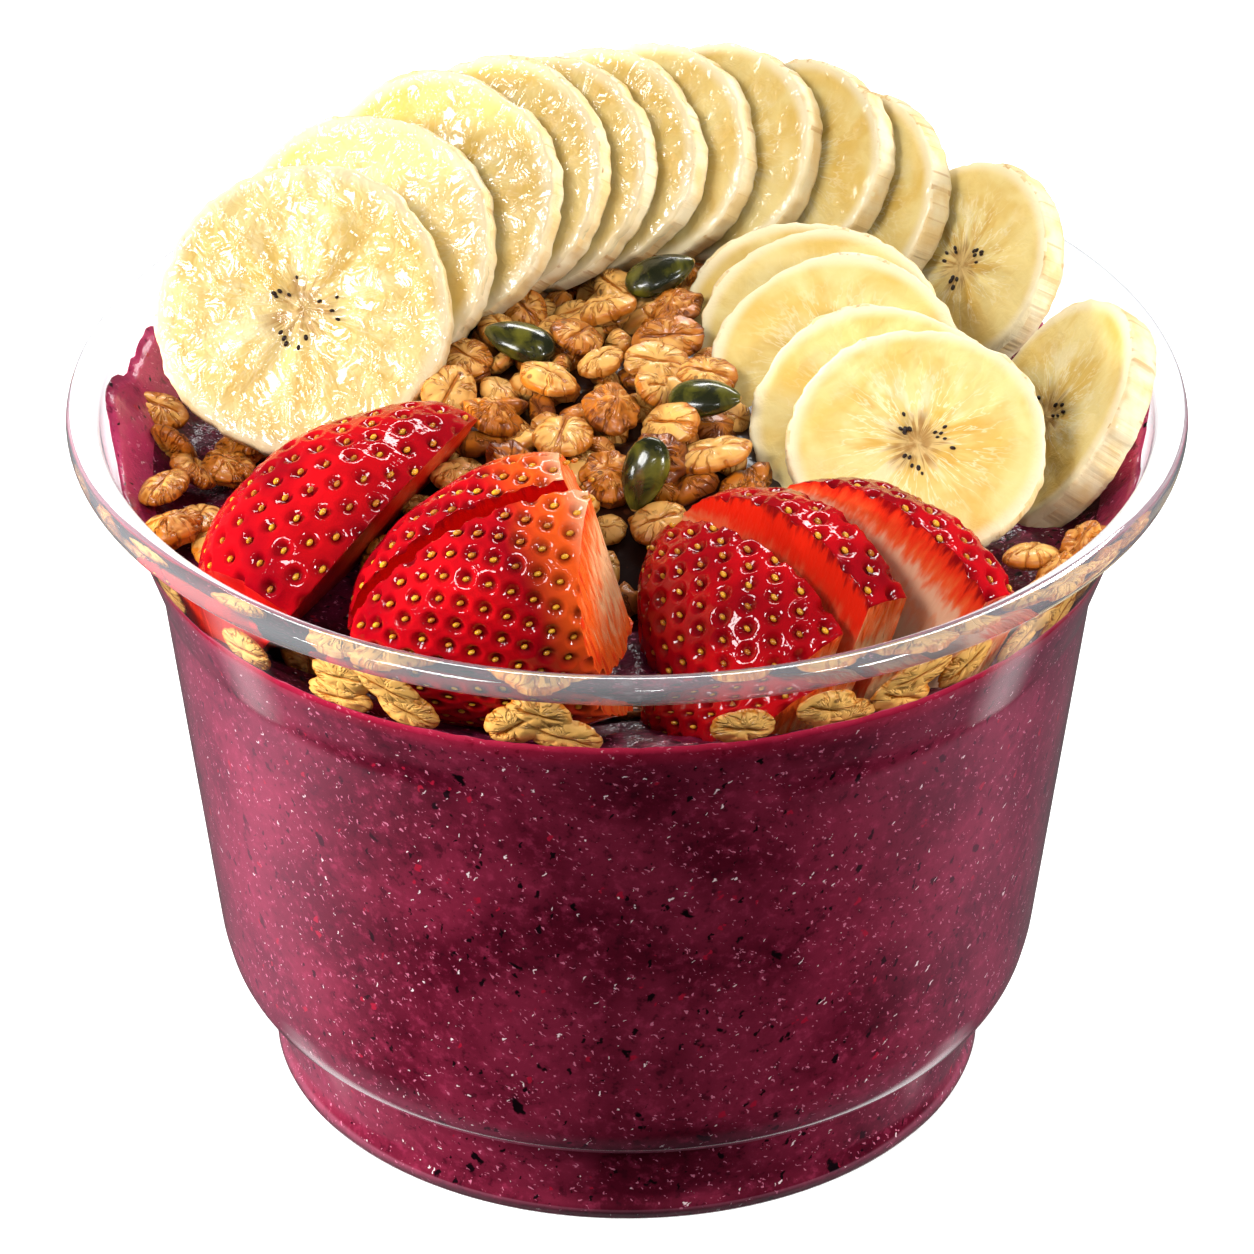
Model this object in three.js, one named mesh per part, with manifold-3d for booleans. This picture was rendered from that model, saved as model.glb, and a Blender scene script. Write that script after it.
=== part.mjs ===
// An acai bowl in a clear disposable cup: acai, granola, banana slices, cut strawberries
// and pumpkin seeds. Millimetres, +Z up, base on z = 0, the front of the bowl towards -Y.

import * as THREE from 'three';
import { mergeVertices } from 'three/addons/utils/BufferGeometryUtils.js';
import Module from 'manifold-3d';

const wasm = await Module();
wasm.setup();

// Driving dimensions
const RIM_RADIUS = 59;
const CUP_HEIGHT = 80.2;
const WALL = 0.7;
const GAP = 0.35;
const ACAI_LEVEL = 68.4;
const HEAP_FLOOR = 68.8;
const HEAP_TOP = 78.6;
const HEAP_RADIUS = 36;
const HEAP_CENTRE = [-1, 8];
const CUP_SIDES = 52;
const SLICE_SIDES = 22;
const BERRY_SIDES = 20;
const DEG = Math.PI / 180;

// Outer outline of the cup below its rolled rim, as [radius, height]: foot, ledge,
// straight cone, kink and flare
const CUP_OUTLINE = [
  [37.6, 0],
  [38.7, 1.2],
  [37.9, 3.2],
  [39.4, 10.6],
  [43.0, 12.5],
  [44.0, 15.5],
  [49.6, 60],
  [54.5, 74.5],
  [55.8, 77.6],
];
const FLOOR_TOP = 2.4;

// Banana slices: centre of the face that shows, radius, turn to the left and upward lean
// of the face in degrees
const ARC_SLICE_THICKNESS = 4;
const ARC_SLICES = [
  { at: [-34.3, 9, 85], radius: 15.9, turn: 10, lean: 40 },
  { at: [-28.9, 18.4, 86.8], radius: 15.2, turn: 22, lean: 40 },
  { at: [-21.2, 24.6, 89.6], radius: 14.5, turn: 26, lean: 38 },
  { at: [-15.1, 28.8, 90.2], radius: 13.5, turn: 28, lean: 37 },
  { at: [-9.7, 31.7, 89.4], radius: 13, turn: 29, lean: 37 },
  { at: [-4.3, 34.8, 88.9], radius: 12.8, turn: 30, lean: 37 },
  { at: [1.8, 37.6, 88.4], radius: 12.5, turn: 32, lean: 36 },
  { at: [9.2, 39.3, 87.8], radius: 12.2, turn: 35, lean: 36 },
  { at: [17.7, 39.4, 86.3], radius: 11.6, turn: 42, lean: 35 },
  { at: [23.9, 38.6, 82.2], radius: 12, turn: 50, lean: 34 },
  { at: [35.9, 29.5, 78.9], radius: 12.2, turn: 55, lean: 36 },
  { at: [44, 4, 74.9], radius: 14.2, turn: 80, lean: 38 },
];
const FAN_SLICE_THICKNESS = 3;
const FAN_SLICES = [
  { at: [30.2, -10.3, 80], radius: 13.8, turn: 6, lean: 58 },
  { at: [26.4, -4.2, 79], radius: 13.9, turn: 8, lean: 56 },
  { at: [22.2, 5, 80.1], radius: 13.6, turn: 10, lean: 54 },
  { at: [20.5, 11.5, 79.7], radius: 13.4, turn: 12, lean: 52 },
  { at: [17.9, 16.4, 78.1], radius: 13, turn: 14, lean: 50 },
];

// Strawberry pieces: tip of the whole berry, way from tip to crown, way that the cut face
// looks, and what is kept of the berry between two planes across that way
const BERRY_PIECES = [
  {
    tip: [-15.6, -9, 82.1], axis: [-0.63, -0.62, -0.47], face: [0.76, -0.38, -0.52],
    length: 36, width: 27.7, from: -20, to: 0.2, crown: 0.9,
  },
  {
    tip: [-28.5, -36, 72.8], axis: [0.93, 0.11, 0.35], face: [0.2, -0.95, -0.23],
    length: 31.2, width: 21.2, from: -9, to: 0, crown: 0.86,
  },
  {
    tip: [-28, -41.4, 74.3], axis: [0.95, 0.14, 0.27], face: [-0.2, 0.95, 0.23],
    length: 32.4, width: 22.5, from: -20, to: 1.2, crown: 0.86,
  },
  {
    tip: [3.3, -22, 76.1], axis: [0.64, -0.66, -0.39], face: [0.73, 0.68, 0.05],
    length: 29.9, width: 25.3, from: -20, to: -0.3, crown: 0.85,
  },
  {
    tip: [6.2, -19.8, 76.9], axis: [0.6, -0.73, -0.32], face: [-0.76, -0.65, 0.03],
    length: 31.7, width: 27.3, from: -4.6, to: 0.8, crown: 0.85,
  },
  {
    tip: [15.7, -20.3, 79.7], axis: [0.61, -0.65, -0.45], face: [-0.67, -0.73, 0.14],
    length: 32.7, width: 26.6, from: -4.8, to: 0.8, crown: 0.8,
  },
];

// Pumpkin seeds: centre, turn of the long axis about Z and upward tilt in degrees
const SEED_SIZE = [4.1, 2.4, 1.2];
const SEEDS = [
  { at: [-11.4, 9.3, 81], turn: 160, tilt: 5 },
  { at: [3.6, 23, 81.5], turn: 20, tilt: 10 },
  { at: [8.2, -3, 81], turn: 170, tilt: -12 },
  { at: [2, -15.4, 79], turn: 70, tilt: 35 },
];

// Granola flakes, as half sizes of an oval with a flat face
const FLAKE_SIZES = [
  [4, 3.2, 1.5],
  [3.5, 2.7, 1.4],
  [2.9, 2.2, 1.3],
];
const FLAKE_SPACING = 5.5;
const FLAKE_LIFT = 0.9;
const FLAKE_TRIES = 1500;

// Flakes that stand on the acai against the wall: angle from +X in degrees, height
const WALL_FLAKES = [
  [224, 71.3], [231, 72.4], [240, 70.9], [243, 73.2], [247.5, 70.8], [261, 70.9],
  [264, 72.6], [282, 71], [291, 71.2], [300, 70.9], [303.5, 73.4], [309, 72.2],
  [316, 72], [321, 71.8],
];
// Flakes that lie loose on the acai beside the heap: x, y, height
const LOOSE_FLAKES = [
  [-47.5, 2, 70.5], [-46, -7, 70.4], [-43, -14.5, 70.6], [-48, -16, 72.4], [-41, 4, 70.3],
  [47.5, -19, 72.6], [45.6, -26, 70.6],
];

const COLOURS = {
  cup: { color: 0xf4f7f7, roughness: 0.08, transparent: true, opacity: 0.25 },
  acai: { color: 0x5f1a32, roughness: 0.35 },
  granola: { color: 0xc98f4e, roughness: 0.5 },
  banana: { color: 0xf1dfa0, roughness: 0.45 },
  strawberry: { color: 0xb5121b, roughness: 0.3 },
  seed: { color: 0x4a4a1e, roughness: 0.35 },
};

function seededRandom(seed) {
  let state = seed;
  return () => {
    state = (state * 1664525 + 1013904223) % 4294967296;
    return state / 4294967296;
  };
}

function material(name) {
  return new THREE.MeshStandardMaterial({ metalness: 0, ...COLOURS[name] });
}

// A lathe's axis is Y, so its outline is turned to stand along Z
function latheAboutZ(outline, sides) {
  const points = outline.map(([radius, height]) => new THREE.Vector2(radius, height));
  return new THREE.LatheGeometry(points, sides).rotateX(Math.PI / 2);
}

function toSolid(geometry) {
  const bare = geometry.clone();
  bare.deleteAttribute('normal');
  bare.deleteAttribute('uv');
  const merged = mergeVertices(bare, 1e-4);
  const source = merged.index.array;
  const triangles = [];
  for (let i = 0; i < source.length; i += 3) {
    const [a, b, c] = [source[i], source[i + 1], source[i + 2]];
    if (a !== b && b !== c && c !== a) {
      triangles.push(a, b, c);
    }
  }
  const mesh = new wasm.Mesh({
    numProp: 3,
    vertProperties: new Float32Array(merged.attributes.position.array),
    triVerts: new Uint32Array(triangles),
  });
  return new wasm.Manifold(mesh);
}

function toGeometry(solid) {
  const mesh = solid.getMesh();
  const geometry = new THREE.BufferGeometry();
  geometry.setAttribute('position', new THREE.BufferAttribute(mesh.vertProperties, 3));
  geometry.setIndex(new THREE.BufferAttribute(mesh.triVerts, 1));
  geometry.computeVertexNormals();
  return geometry;
}

function largestPiece(solid) {
  const pieces = solid.decompose();
  return pieces.reduce((best, piece) => (piece.volume() > best.volume() ? piece : best));
}

function namedMesh(name, geometry, look) {
  const mesh = new THREE.Mesh(geometry, material(look));
  mesh.name = name;
  return mesh;
}

function placedSolid(geometry, mesh) {
  mesh.updateMatrix();
  return toSolid(geometry.clone().applyMatrix4(mesh.matrix));
}

// Radius of the cup's inner face at a height
function insideRadius(height) {
  for (let i = 1; i < CUP_OUTLINE.length; i += 1) {
    const [r0, z0] = CUP_OUTLINE[i - 1];
    const [r1, z1] = CUP_OUTLINE[i];
    if (height <= z1) {
      return r0 + ((r1 - r0) * (height - z0)) / (z1 - z0) - WALL;
    }
  }
  return CUP_OUTLINE.at(-1)[0] - WALL;
}

function buildCup() {
  const rolledRim = [
    [RIM_RADIUS - 2.2, 77.9],
    [RIM_RADIUS - 0.7, 77.8],
    [RIM_RADIUS, 78.7],
    [RIM_RADIUS - 0.5, 79.7],
    [RIM_RADIUS - 1.8, CUP_HEIGHT],
    [RIM_RADIUS - 3, 79.7],
  ];
  const inside = [77.4, 74.6, 60, 15.6, 12.9, 11, 3.4].map((z) => [insideRadius(z), z]);
  const outline = [
    [0, FLOOR_TOP - WALL],
    [33.4, FLOOR_TOP - WALL],
    [34.6, 0],
    ...CUP_OUTLINE,
    ...rolledRim,
    ...inside,
    [36, FLOOR_TOP],
    [0, FLOOR_TOP],
  ];
  return namedMesh('cup', latheAboutZ(outline, CUP_SIDES), 'cup');
}

// How far the acai is smeared up the wall, by angle from +X in degrees
function smearHeight(angle) {
  const smears = [
    { at: 164, half: 34, height: 8.6 },
    { at: 4, half: 26, height: 8.2 },
    { at: 43, half: 18, height: 6 },
    { at: 300, half: 60, height: 0.8 },
  ];
  let height = 0;
  for (const smear of smears) {
    const away = Math.abs(((angle - smear.at + 540) % 360) - 180) / smear.half;
    if (away < 1) {
      height = Math.max(height, smear.height * Math.cos((away * Math.PI) / 2) ** 0.7);
    }
  }
  return height;
}

function acaiBody() {
  const wallHeights = [FLOOR_TOP + 1.4, 11.2, 13.2, 15.8, 60];
  const edge = insideRadius(ACAI_LEVEL) - GAP;
  const outline = [
    [0, FLOOR_TOP + GAP],
    [35.4, FLOOR_TOP + GAP],
    ...wallHeights.map((z) => [insideRadius(z - 0.3) - GAP, z]),
    [edge, ACAI_LEVEL],
    [edge - 1.6, ACAI_LEVEL + 0.05],
    [edge - 3.6, ACAI_LEVEL + 0.3],
    [edge - 7, ACAI_LEVEL - 0.2],
    [40, ACAI_LEVEL - 0.1],
    [0, ACAI_LEVEL - 0.1],
  ];
  const geometry = latheAboutZ(outline, CUP_SIDES);
  const position = geometry.attributes.position;
  for (let i = 0; i < position.count; i += 1) {
    const [x, y, z] = [position.getX(i), position.getY(i), position.getZ(i)];
    const radius = Math.hypot(x, y);
    const angle = (Math.atan2(y, x) / DEG + 360) % 360;
    if (z < ACAI_LEVEL - 0.25 || radius < edge - 4) {
      continue;
    }
    const share = [1, 0.55, 0.12][Math.round((edge - radius) / 1.8)];
    const raised = z + smearHeight(angle) * share;
    const outward = share === 1 ? insideRadius(raised) - GAP : radius + 0.25 * (raised - z);
    position.setXYZ(i, (x * outward) / radius, (y * outward) / radius, raised);
  }
  return toSolid(geometry);
}

// A banana slice with its face on local z = 0, turned to +Z; ridges follow its outline
function sliceGeometry(radius, thickness, phase, grow = 0) {
  const r = radius + grow;
  const top = grow;
  const bottom = -thickness - grow;
  const outline = [
    [0, bottom],
    [r - 0.5, bottom],
    [r, bottom + 0.8],
    [r, top - 0.7],
    [r - 0.6, top],
    [0, top],
  ];
  const geometry = latheAboutZ(outline, SLICE_SIDES);
  const position = geometry.attributes.position;
  for (let i = 0; i < position.count; i += 1) {
    const [x, y] = [position.getX(i), position.getY(i)];
    const angle = Math.atan2(y, x);
    const ridge = 1 + 0.012 * Math.cos(5 * angle + phase) + 0.008 * Math.cos(3 * angle + 2 * phase);
    position.setX(i, x * ridge);
    position.setY(i, y * ridge);
  }
  return geometry;
}

function buildSlices(list, prefix, thickness) {
  return list.map((slice, index) => {
    const name = `${prefix}_${String(index + 1).padStart(2, '0')}`;
    const mesh = namedMesh(name, sliceGeometry(slice.radius, thickness, index), 'banana');
    mesh.position.set(...slice.at);
    mesh.rotation.set((90 - slice.lean) * DEG, 0, -slice.turn * DEG, 'ZYX');
    mesh.userData.tool = placedSolid(sliceGeometry(slice.radius, thickness, index, GAP), mesh);
    return mesh;
  });
}

// Radius of a whole strawberry as a share of its half width, by share of its length
function berryOutline(share) {
  const widest = 0.633 ** 0.62 * 0.367 ** 0.36;
  return (share ** 0.62 * (1 - share) ** 0.36) / widest;
}

// A piece of strawberry: tip at the origin, crown along local +X, cut face across local Z
function berryGeometry(piece, grow = 0) {
  const rings = [0.03, 0.1, 0.2, 0.33, 0.46, 0.6, 0.74, piece.crown];
  const outline = [[0, -grow]];
  for (const share of rings) {
    const radius = (piece.width / 2) * berryOutline(share) + grow;
    outline.push([radius, share * piece.length]);
  }
  const end = piece.crown * piece.length + grow;
  outline.push([outline.at(-1)[0], end]);
  outline.push([0, end]);
  if (grow === 0) {
    outline.splice(-2, 1);
  }
  const whole = toSolid(latheAboutZ(outline, BERRY_SIDES).rotateY(Math.PI / 2));
  const slab = whole
    .trimByPlane([0, 0, 1], piece.from - grow)
    .trimByPlane([0, 0, -1], -piece.to - grow);
  return toGeometry(slab);
}

function buildBerryPieces() {
  return BERRY_PIECES.map((piece, index) => {
    const mesh = namedMesh(`strawberry_${index + 1}`, berryGeometry(piece), 'strawberry');
    const along = new THREE.Vector3(...piece.axis).normalize();
    const across = new THREE.Vector3(...piece.face).cross(along).normalize();
    const face = along.clone().cross(across);
    const turn = new THREE.Matrix4().makeBasis(along, across, face);
    mesh.quaternion.setFromRotationMatrix(turn);
    mesh.position.set(...piece.tip);
    mesh.userData.tool = placedSolid(berryGeometry(piece, GAP), mesh);
    return mesh;
  });
}

function seedGeometry(grow = 0) {
  const [a, b, c] = SEED_SIZE.map((half) => half + grow);
  const geometry = new THREE.SphereGeometry(1, 10, 6).rotateZ(Math.PI / 2).scale(a, b, c);
  const position = geometry.attributes.position;
  for (let i = 0; i < position.count; i += 1) {
    const taper = 1 - 0.22 * (position.getX(i) / a);
    position.setY(i, position.getY(i) * taper);
  }
  return geometry;
}

function buildSeeds() {
  return SEEDS.map((seed, index) => {
    const mesh = namedMesh(`pumpkin_seed_${index + 1}`, seedGeometry(), 'seed');
    mesh.position.set(...seed.at);
    mesh.rotation.set(0, -seed.tilt * DEG, seed.turn * DEG, 'ZYX');
    mesh.userData.tool = placedSolid(seedGeometry(GAP), mesh);
    return mesh;
  });
}

// Height of the bare heap above a point
function heapHeight(x, y) {
  const away = Math.hypot(x - HEAP_CENTRE[0], y - HEAP_CENTRE[1]) / HEAP_RADIUS;
  const rise = Math.max(0, 1 - away ** 2.6);
  return HEAP_FLOOR + (HEAP_TOP - HEAP_FLOOR) * rise ** 0.8;
}

function heapCore() {
  const outline = [[0, HEAP_FLOOR]];
  outline.push([HEAP_RADIUS, HEAP_FLOOR]);
  for (const share of [0.96, 0.88, 0.76, 0.6, 0.4, 0]) {
    const radius = share * HEAP_RADIUS;
    outline.push([radius, heapHeight(HEAP_CENTRE[0] + radius, HEAP_CENTRE[1])]);
  }
  const geometry = latheAboutZ(outline, 28);
  return toSolid(geometry.translate(HEAP_CENTRE[0], HEAP_CENTRE[1], 0));
}

function flakeSolid(size, at, turns) {
  const geometry = new THREE.SphereGeometry(1, 7, 3).rotateX(Math.PI / 2).scale(...size);
  const holder = new THREE.Object3D();
  holder.position.set(...at);
  holder.rotation.set(...turns, 'ZYX');
  return placedSolid(geometry, holder);
}

function isClear(solid, tools) {
  return tools.every((tool) => solid.intersect(tool).isEmpty());
}

// Flakes on the heap, spread by a seeded draw and left out where fruit or seeds are
function heapFlakes(tools) {
  const random = seededRandom(7);
  const placed = [];
  const flakes = [];
  for (let i = 0; i < FLAKE_TRIES; i += 1) {
    const angle = random() * 2 * Math.PI;
    const away = HEAP_RADIUS * 0.93 * Math.sqrt(random());
    const x = HEAP_CENTRE[0] + away * Math.cos(angle);
    const y = HEAP_CENTRE[1] + away * Math.sin(angle);
    const turns = [(random() - 0.5) * 0.9, (random() - 0.5) * 0.9, random() * Math.PI];
    const size = FLAKE_SIZES[Math.floor(random() * FLAKE_SIZES.length)];
    if (placed.some(([px, py]) => Math.hypot(px - x, py - y) < FLAKE_SPACING)) {
      continue;
    }
    const flake = flakeSolid(size, [x, y, heapHeight(x, y) + FLAKE_LIFT], turns);
    if (isClear(flake, tools)) {
      placed.push([x, y]);
      flakes.push(flake);
    }
  }
  return flakes;
}

function buildGranola(tools) {
  let core = heapCore();
  for (const tool of tools) {
    core = core.subtract(tool);
  }
  const solid = wasm.Manifold.union([core, ...heapFlakes(tools)]);
  return namedMesh('granola', toGeometry(largestPiece(solid)), 'granola');
}

// Flakes that stand against the wall, a little sunk in the acai or in each other
function wallFlakes() {
  return WALL_FLAKES.map(([angle, height], index) => {
    const size = FLAKE_SIZES[index % 2];
    const radius = insideRadius(height) - GAP - size[2] - 0.5;
    const at = [radius * Math.cos(angle * DEG), radius * Math.sin(angle * DEG), height];
    return flakeSolid(size, at, [0, 106 * DEG, angle * DEG]);
  });
}

function looseFlakes() {
  return LOOSE_FLAKES.map(([x, y, z], index) => {
    const size = FLAKE_SIZES[index % 2];
    return flakeSolid(size, [x, y, z], [0.3 * Math.sin(index), 0.35 * Math.cos(index), index]);
  });
}

function buildAcai(tools) {
  let body = acaiBody();
  for (const tool of tools) {
    body = body.subtract(tool);
  }
  const flakes = [...wallFlakes(), ...looseFlakes()].filter((flake) => isClear(flake, tools));
  const solid = wasm.Manifold.union([largestPiece(body), ...flakes]);
  return namedMesh('acai', toGeometry(largestPiece(solid)), 'acai');
}

const fruit = [
  ...buildSlices(ARC_SLICES, 'banana_arc', ARC_SLICE_THICKNESS),
  ...buildSlices(FAN_SLICES, 'banana_fan', FAN_SLICE_THICKNESS),
  ...buildBerryPieces(),
];
const seeds = buildSeeds();
const tools = [...fruit, ...seeds].map((mesh) => mesh.userData.tool);

const bowl = new THREE.Group();
bowl.name = 'acai_bowl';
bowl.add(buildCup());
bowl.add(buildAcai(tools));
bowl.add(buildGranola(tools));
bowl.add(...fruit);
bowl.add(...seeds);

export default bowl;
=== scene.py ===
"""An acai bowl in a clear cup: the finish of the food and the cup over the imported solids."""

import math
import random

import bmesh
import bpy
import numpy as np
from mathutils import Matrix, Vector, noise
from mathutils.bvhtree import BVHTree
from mathutils.kdtree import KDTree


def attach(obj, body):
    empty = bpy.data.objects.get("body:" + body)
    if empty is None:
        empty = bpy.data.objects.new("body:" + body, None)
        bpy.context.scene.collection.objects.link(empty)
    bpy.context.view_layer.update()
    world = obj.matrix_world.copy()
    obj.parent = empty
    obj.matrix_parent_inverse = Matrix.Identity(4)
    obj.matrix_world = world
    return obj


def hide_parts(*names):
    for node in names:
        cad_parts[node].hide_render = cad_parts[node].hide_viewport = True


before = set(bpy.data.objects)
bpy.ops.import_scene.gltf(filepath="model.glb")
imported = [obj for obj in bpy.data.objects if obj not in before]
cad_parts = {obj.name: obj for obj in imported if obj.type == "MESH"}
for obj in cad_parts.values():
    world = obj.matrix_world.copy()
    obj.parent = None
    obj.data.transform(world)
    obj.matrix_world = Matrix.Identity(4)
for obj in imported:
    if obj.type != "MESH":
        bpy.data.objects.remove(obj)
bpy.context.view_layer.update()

MM = 0.001
FULL_TURN = 2 * math.pi

# The cup, in millimetres
RIM_RADIUS = 59.0
CUP_HEIGHT = 80.2
SHEET = 0.55
CUP_WALL = [(44.0, 15.5), (49.6, 60.0), (54.5, 74.5), (55.9, 78.0)]
CORNER_ROUNDING = 0.8

# The acai and the granola heap
ACAI_LEVEL = 68.4
SMEAR_FROM = 66.5
# Where the acai is smeared up the wall: angle from +X, half the spread in degrees, and height
SMEARS = [(164, 34, 8.6), (4, 26, 8.2), (43, 18, 6.0), (300, 60, 0.8)]
HEAP_FLOOR = 68.0
HEAP_TOP = 78.6
HEAP_RADIUS = 36.0
HEAP_CENTRE = Vector((-1.0, 8.0))

# Banana slices: how many, and how far along the outer arc they are glazed and then moist
ARC_SLICES = 12
FAN_SLICES = 5
GLAZED_UP_TO = 6
MOIST_UP_TO = 10

# Strawberry pieces: tip of the whole berry, way from tip to crown, way that the cut face
# looks, length, width, from where to where along that way flesh is kept, and the share of
# the length at which the crown is cut off
BERRY_PIECES = [
    ((-15.6, -9, 82.1), (-0.63, -0.62, -0.47), (0.76, -0.38, -0.52), 36, 27.7, -20, 0.2, 0.9),
    ((-28.5, -36, 72.8), (0.93, 0.11, 0.35), (0.2, -0.95, -0.23), 31.2, 21.2, -9, 0, 0.86),
    ((-28, -41.4, 74.3), (0.95, 0.14, 0.27), (-0.2, 0.95, 0.23), 32.4, 22.5, -20, 1.2, 0.86),
    ((3.3, -22, 76.1), (0.64, -0.66, -0.39), (0.73, 0.68, 0.05), 29.9, 25.3, -20, -0.3, 0.85),
    ((6.2, -19.8, 76.9), (0.6, -0.73, -0.32), (-0.76, -0.65, 0.03), 31.7, 27.3, -4.6, 0.8, 0.85),
    ((15.7, -20.3, 79.7), (0.61, -0.65, -0.45), (-0.67, -0.73, 0.14), 32.7, 26.6, -4.8, 0.8, 0.8),
]

# A berry's outline is share ** tip power * (1 - share) ** crown power, widest at the share below
BERRY_TIP_POWER = 0.62
BERRY_CROWN_POWER = 0.36
BERRY_WIDE_SHARE = BERRY_TIP_POWER / (BERRY_TIP_POWER + BERRY_CROWN_POWER)
BERRY_WIDEST = BERRY_WIDE_SHARE**BERRY_TIP_POWER * (1 - BERRY_WIDE_SHARE) ** BERRY_CROWN_POWER
SEEDS_ON_A_BERRY = 290
SEED_SPIRAL = math.pi * (3 - math.sqrt(5))

# Loose oat flakes against the wall, as angle from +X in degrees and height, and on the acai
WALL_FLAKES = [
    (206, 70), (222, 70.4), (237, 73), (236, 69.8), (243, 73.4), (245, 70.7), (257.5, 71.2),
    (260.5, 73.4), (263, 70.2), (283, 70.8), (292.6, 71.6), (295, 69.4), (302, 70.5),
    (303.7, 73), (310.6, 71.8), (320, 71), (323.5, 73.2), (328, 70.4),
]
LOOSE_FLAKES = [
    (-50, 9.5, 72.2), (-48, 4, 71.2), (-48.6, -6.3, 72), (-45.8, -0.8, 70.8),
    (-42.2, -0.5, 70.9), (-44.6, -11, 71), (-47.2, -14.5, 71.8), (-42, -16.5, 70.4),
    (-40.5, 5, 70.2), (41.8, -20.6, 72.2), (44.8, -23.5, 71.6), (47.5, -18, 72),
]

# Soft lamps: name, place in metres, width, height, watts, and whether shiny things mirror them
LAMPS = [
    ("key", (-0.42, -0.45, 0.65), 0.26, 0.22, 3.7, True),
    ("wall_left", (-0.8, 0.02, 0.1), 0.3, 0.3, 16, False),
    ("wall_right", (0.8, 0.1, 0.1), 0.3, 0.3, 8.4, False),
    ("wall_front", (0.1, -0.85, 0.2), 0.3, 0.3, 0.3, False),
    ("back", (0.1, 0.5, 0.6), 0.5, 0.12, 3.0, True),
    ("fill", (0.55, -0.45, 0.45), 0.12, 0.12, 1.7, True),
    ("glint_0", (-0.6, -0.3, 0.35), 0.06, 0.06, 0.3, True),
    ("glint_1", (0.05, -0.6, 0.6), 0.06, 0.06, 0.3, True),
    ("glint_2", (0.3, -0.2, 0.7), 0.06, 0.06, 0.3, True),
]
LAMP_TARGET = (0, 0, 0.07)

# The camera: degrees above level, metres, and the lens as pixels of a square picture
CAMERA_ELEVATION = 31.5
CAMERA_DISTANCE = 0.856
CAMERA_TARGET = (0, 0, 0.051)
FOCAL_PIXELS = 8000
PICTURE_PIXELS = 1254
SENSOR_MM = 36


# Small helpers for colours, nodes and pieces

def linear(hex_colour, alpha=1.0):
    """Turns an sRGB hex colour into the linear colour that a shader socket takes."""
    channels = [((hex_colour >> shift) & 255) / 255 for shift in (16, 8, 0)]
    return tuple(
        c / 12.92 if c <= 0.04045 else ((c + 0.055) / 1.055) ** 2.4 for c in channels
    ) + (alpha,)


def add_node(tree, kind, inputs=None, **settings):
    """Adds a shader node, sets its properties, and sets or links each input named."""
    node = tree.nodes.new("ShaderNode" + kind)
    for name, value in settings.items():
        setattr(node, name, value)
    for key, value in (inputs or {}).items():
        if isinstance(value, bpy.types.NodeSocket):
            tree.links.new(value, node.inputs[key])
        else:
            node.inputs[key].default_value = value
    return node


def new_material(name, inputs):
    """A material with one Principled shader; returns it with its tree and shader."""
    material = bpy.data.materials.new(name)
    material.use_nodes = True
    tree = material.node_tree
    tree.nodes.clear()
    shader = add_node(tree, "BsdfPrincipled", inputs)
    add_node(tree, "OutputMaterial", {"Surface": shader.outputs["BSDF"]})
    return material, tree, shader


def blend_colours(tree, share, first, second, strength=1.0):
    """Mixes two hex colours or sockets by a share, which the strength may lessen."""
    mix = add_node(tree, "Mix", data_type="RGBA", clamp_factor=True)
    if strength != 1.0:
        share = multiply(tree, share, strength)
    first, second = (linear(c) if isinstance(c, int) else c for c in (first, second))
    for index, value in ((0, share), (6, first), (7, second)):
        if isinstance(value, bpy.types.NodeSocket):
            tree.links.new(value, mix.inputs[index])
        else:
            mix.inputs[index].default_value = value
    return mix.outputs[2]


def ramp_between(tree, value, low, high):
    """Turns a value from low to high into 0 to 1, eased at both ends."""
    inputs = {"Value": value, "From Min": low, "From Max": high}
    node = add_node(tree, "MapRange", inputs, interpolation_type="SMOOTHSTEP")
    return node.outputs["Result"]


def ramp_colours(tree, value, low, high, first, second, strength=1.0):
    """Mixes two colours by where a value lies between low and high."""
    return blend_colours(tree, ramp_between(tree, value, low, high), first, second, strength)


def calculate(tree, operation, *values):
    """A Math node's result."""
    node = add_node(tree, "Math", dict(enumerate(values)), operation=operation)
    return node.outputs[0]


def multiply(tree, first, second):
    return calculate(tree, "MULTIPLY", first, second)


def blend_values(tree, share, first, second):
    inputs = {0: share, 2: first, 3: second}
    return add_node(tree, "Mix", inputs, data_type="FLOAT").outputs[0]


def axis_of(tree, vector, axis):
    return add_node(tree, "SeparateXYZ", {0: vector}).outputs[axis]


def noise_at(tree, vector, scale=1.0, detail=3.0, **others):
    """A Noise texture's value at a vector."""
    inputs = {"Vector": vector, "Scale": scale, "Detail": detail, **others}
    return add_node(tree, "TexNoise", inputs).outputs["Fac"]


def grain(tree, vector, size_mm, detail=3.0, roughness=0.5, distortion=0.0):
    """Noise whose blobs are about size_mm across, on coordinates in metres."""
    others = {"Roughness": roughness, "Distortion": distortion}
    return noise_at(tree, vector, 0.6 / (size_mm * MM), detail, **others)


def object_coordinates(tree):
    return add_node(tree, "TexCoord").outputs["Object"]


def surface_map(tree, name):
    """A piece's own UV map."""
    return add_node(tree, "UVMap", uv_map=name).outputs["UV"]


def point_value(tree, name, output="Fac"):
    """What a piece's points carry under a name."""
    return add_node(tree, "Attribute", attribute_name=name).outputs[output]


def reach_and_way(tree, flat):
    """A flat vector's length, and the vector made one long."""
    reach = add_node(tree, "VectorMath", {0: flat}, operation="LENGTH").outputs["Value"]
    return reach, add_node(tree, "VectorMath", {0: flat}, operation="NORMALIZE").outputs[0]


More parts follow.
